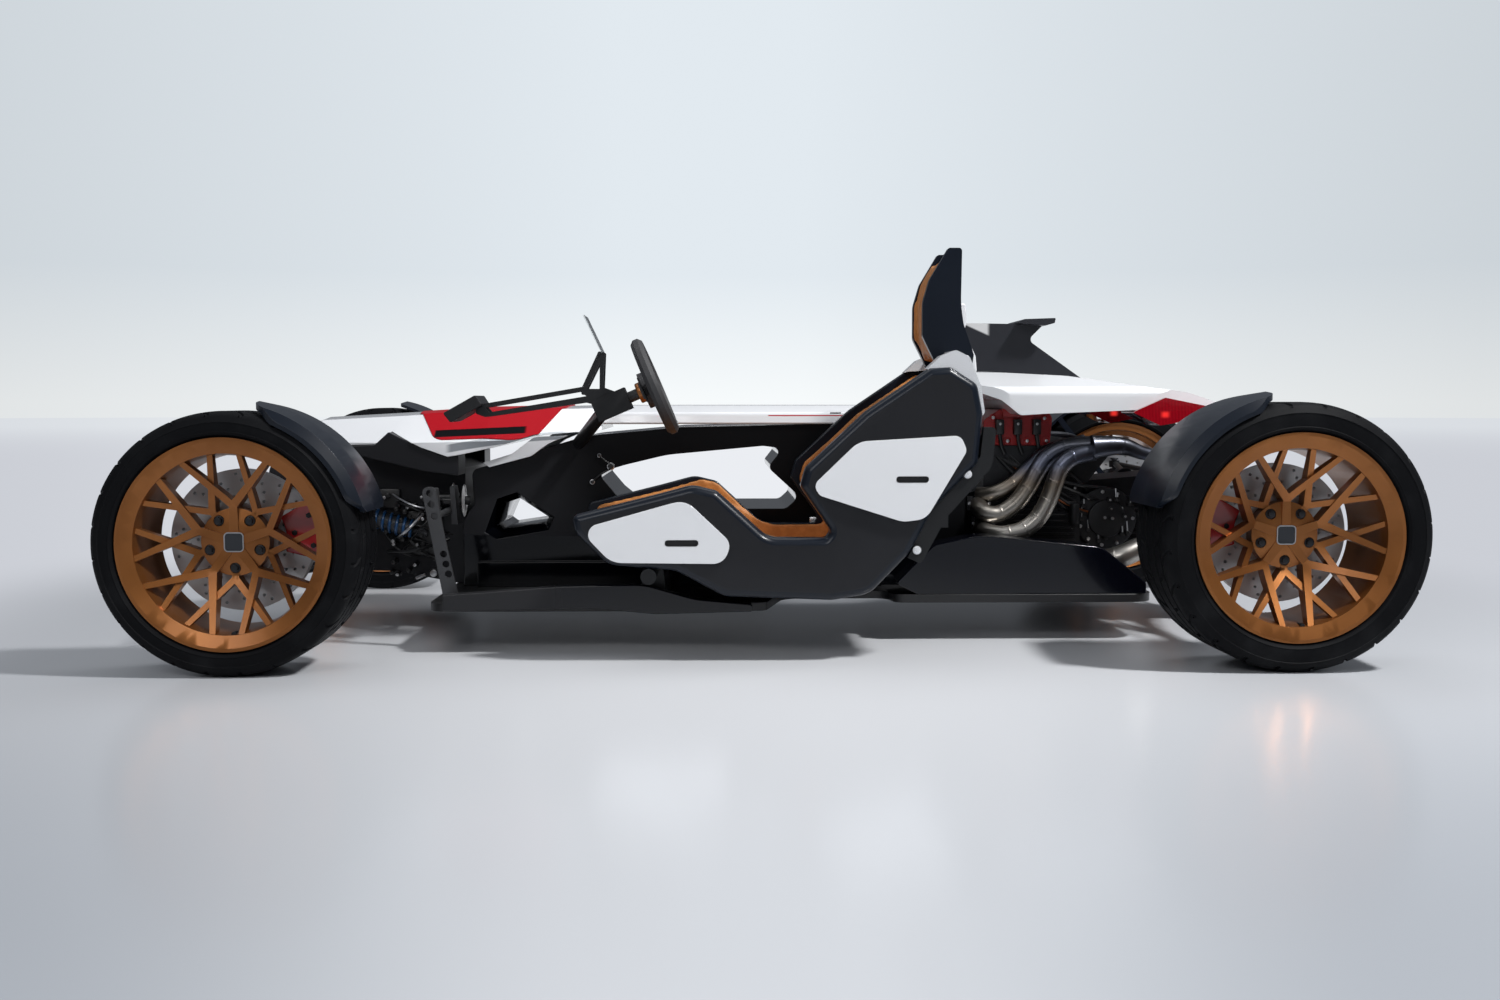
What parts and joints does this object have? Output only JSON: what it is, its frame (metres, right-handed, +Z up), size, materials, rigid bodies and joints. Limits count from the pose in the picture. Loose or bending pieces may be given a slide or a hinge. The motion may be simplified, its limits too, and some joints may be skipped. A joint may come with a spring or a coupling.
{
  "type": "open-wheel concept car",
  "caption": "Open-wheel single-seat concept car: leather-lined bucket seat beside a narrow see-through spine, fenders that turn with the front wheels, mid engine and forked-spoke rims.",
  "frame": {"origin": "on the floor, midway along the overall length, on the wheels' centreline", "axes": "+X rearwards from the nose, +Y to the driver's right, +Z up"},
  "size_m": [3.04, 1.82, 0.9939],
  "materials": {
    "red_cast": "satin",
    "blue_spring": "gloss",
    "bare_steel": "brushed",
    "black_satin": "satin",
    "engine_cast": "cast",
    "pearl_white": "gloss",
    "titanium": "brushed, heat tinted",
    "dark_frame": "satin",
    "black_gloss": "gloss",
    "copper_rim": "satin anodised",
    "tyre": "matte",
    "tan_leather": "suede",
    "silver_white": "gloss",
    "clear_glass": "clear",
    "red_lens": "gloss"
  },
  "bodies": {
    "chassis": {"cam_covers": "red_cast", "dampers": "blue_spring", "dash_truss": "bare_steel", "display": "black_satin", "engine": "engine_cast", "engine_cover": "pearl_white", "exhaust_pipes": "titanium", "floor": "dark_frame", "front_wishbones": "black_satin", "headrest": "black_gloss", "headrest_pad": "tan_leather", "nose_cowl": "pearl_white", "nose_ducts": "dark_frame", "nose_tub": "dark_frame", "pedal_box": "bare_steel", "rear_calipers": "red_cast", "rear_carriers": "black_satin", "rear_fenders": "black_gloss", "rear_wishbones": "black_satin", "roundel": "red_cast", "seat_brackets": "dark_frame", "seat_liner": "tan_leather", "seat_panels": "pearl_white", "seat_shell": "black_gloss", "shoulder_collar": "silver_white", "side_skirts": "dark_frame", "small_screen": "clear_glass", "spine_cover": "pearl_white", "spine_frame": "dark_frame", "steering_column": "black_satin", "tail_fin": "black_gloss", "tail_lights": "red_lens"},
    "knuckle_left": {"front_caliper_left": "red_cast", "front_fender_left": "black_gloss", "front_knuckle_left": "black_satin"},
    "knuckle_right": {"front_caliper_right": "red_cast", "front_fender_right": "black_gloss", "front_knuckle_right": "black_satin"},
    "wheel_front_left": {"front_brake_disc_left": "bare_steel", "front_rim_left": "copper_rim", "front_tyre_left": "tyre"},
    "wheel_front_right": {"front_brake_disc_right": "bare_steel", "front_rim_right": "copper_rim", "front_tyre_right": "tyre"},
    "wheel_rear_left": {"rear_half_shaft_left": "bare_steel", "rear_rim_left": "copper_rim", "rear_tyre_left": "tyre"},
    "wheel_rear_right": {"rear_half_shaft_right": "bare_steel", "rear_rim_right": "copper_rim", "rear_tyre_right": "tyre"},
    "rack": {"steering_rack": "black_satin"},
    "hand_wheel": {"steering_wheel": "black_satin"}
  },
  "joints": [
    {"name": "steer_left", "type": "hinge", "parent": "chassis", "child": "knuckle_left", "pos_m": [-1.22, -0.7, 0.3], "axis": [0, 0, 1], "range_deg": [-25, 25]},
    {"name": "steer_right", "type": "hinge", "parent": "chassis", "child": "knuckle_right", "pos_m": [-1.22, 0.7, 0.3], "axis": [0, 0, 1], "range_deg": [-25, 25]},
    {"name": "rack_slide", "type": "slide", "parent": "chassis", "child": "rack", "axis": [0, 1, 0], "range_m": [-0.0524, 0.0524]},
    {"name": "steering_wheel_turn", "type": "hinge", "parent": "chassis", "child": "hand_wheel", "pos_m": [-0.271, -0.5, 0.658], "axis": [0.9191, 0, 0.3939], "range_deg": [-150, 150]},
    {"name": "spin_front_left", "type": "hinge", "parent": "knuckle_left", "child": "wheel_front_left", "pos_m": [-1.22, -0.796, 0.3], "axis": [0, 1, 0], "continuous": true},
    {"name": "spin_rear_left", "type": "hinge", "parent": "chassis", "child": "wheel_rear_left", "pos_m": [1.21, -0.775, 0.31], "axis": [0, 1, 0], "continuous": true},
    {"name": "spin_front_right", "type": "hinge", "parent": "knuckle_right", "child": "wheel_front_right", "pos_m": [-1.22, 0.796, 0.3], "axis": [0, 1, 0], "continuous": true},
    {"name": "spin_rear_right", "type": "hinge", "parent": "chassis", "child": "wheel_rear_right", "pos_m": [1.21, 0.775, 0.31], "axis": [0, 1, 0], "continuous": true}
  ],
  "couplings": [
    {"joint": "steer_right", "follows": "steer_left", "ratio": 1},
    {"joint": "rack_slide", "follows": "steer_left", "m_per_rad": 0.12},
    {"joint": "steering_wheel_turn", "follows": "steer_left", "ratio": 6}
  ]
}
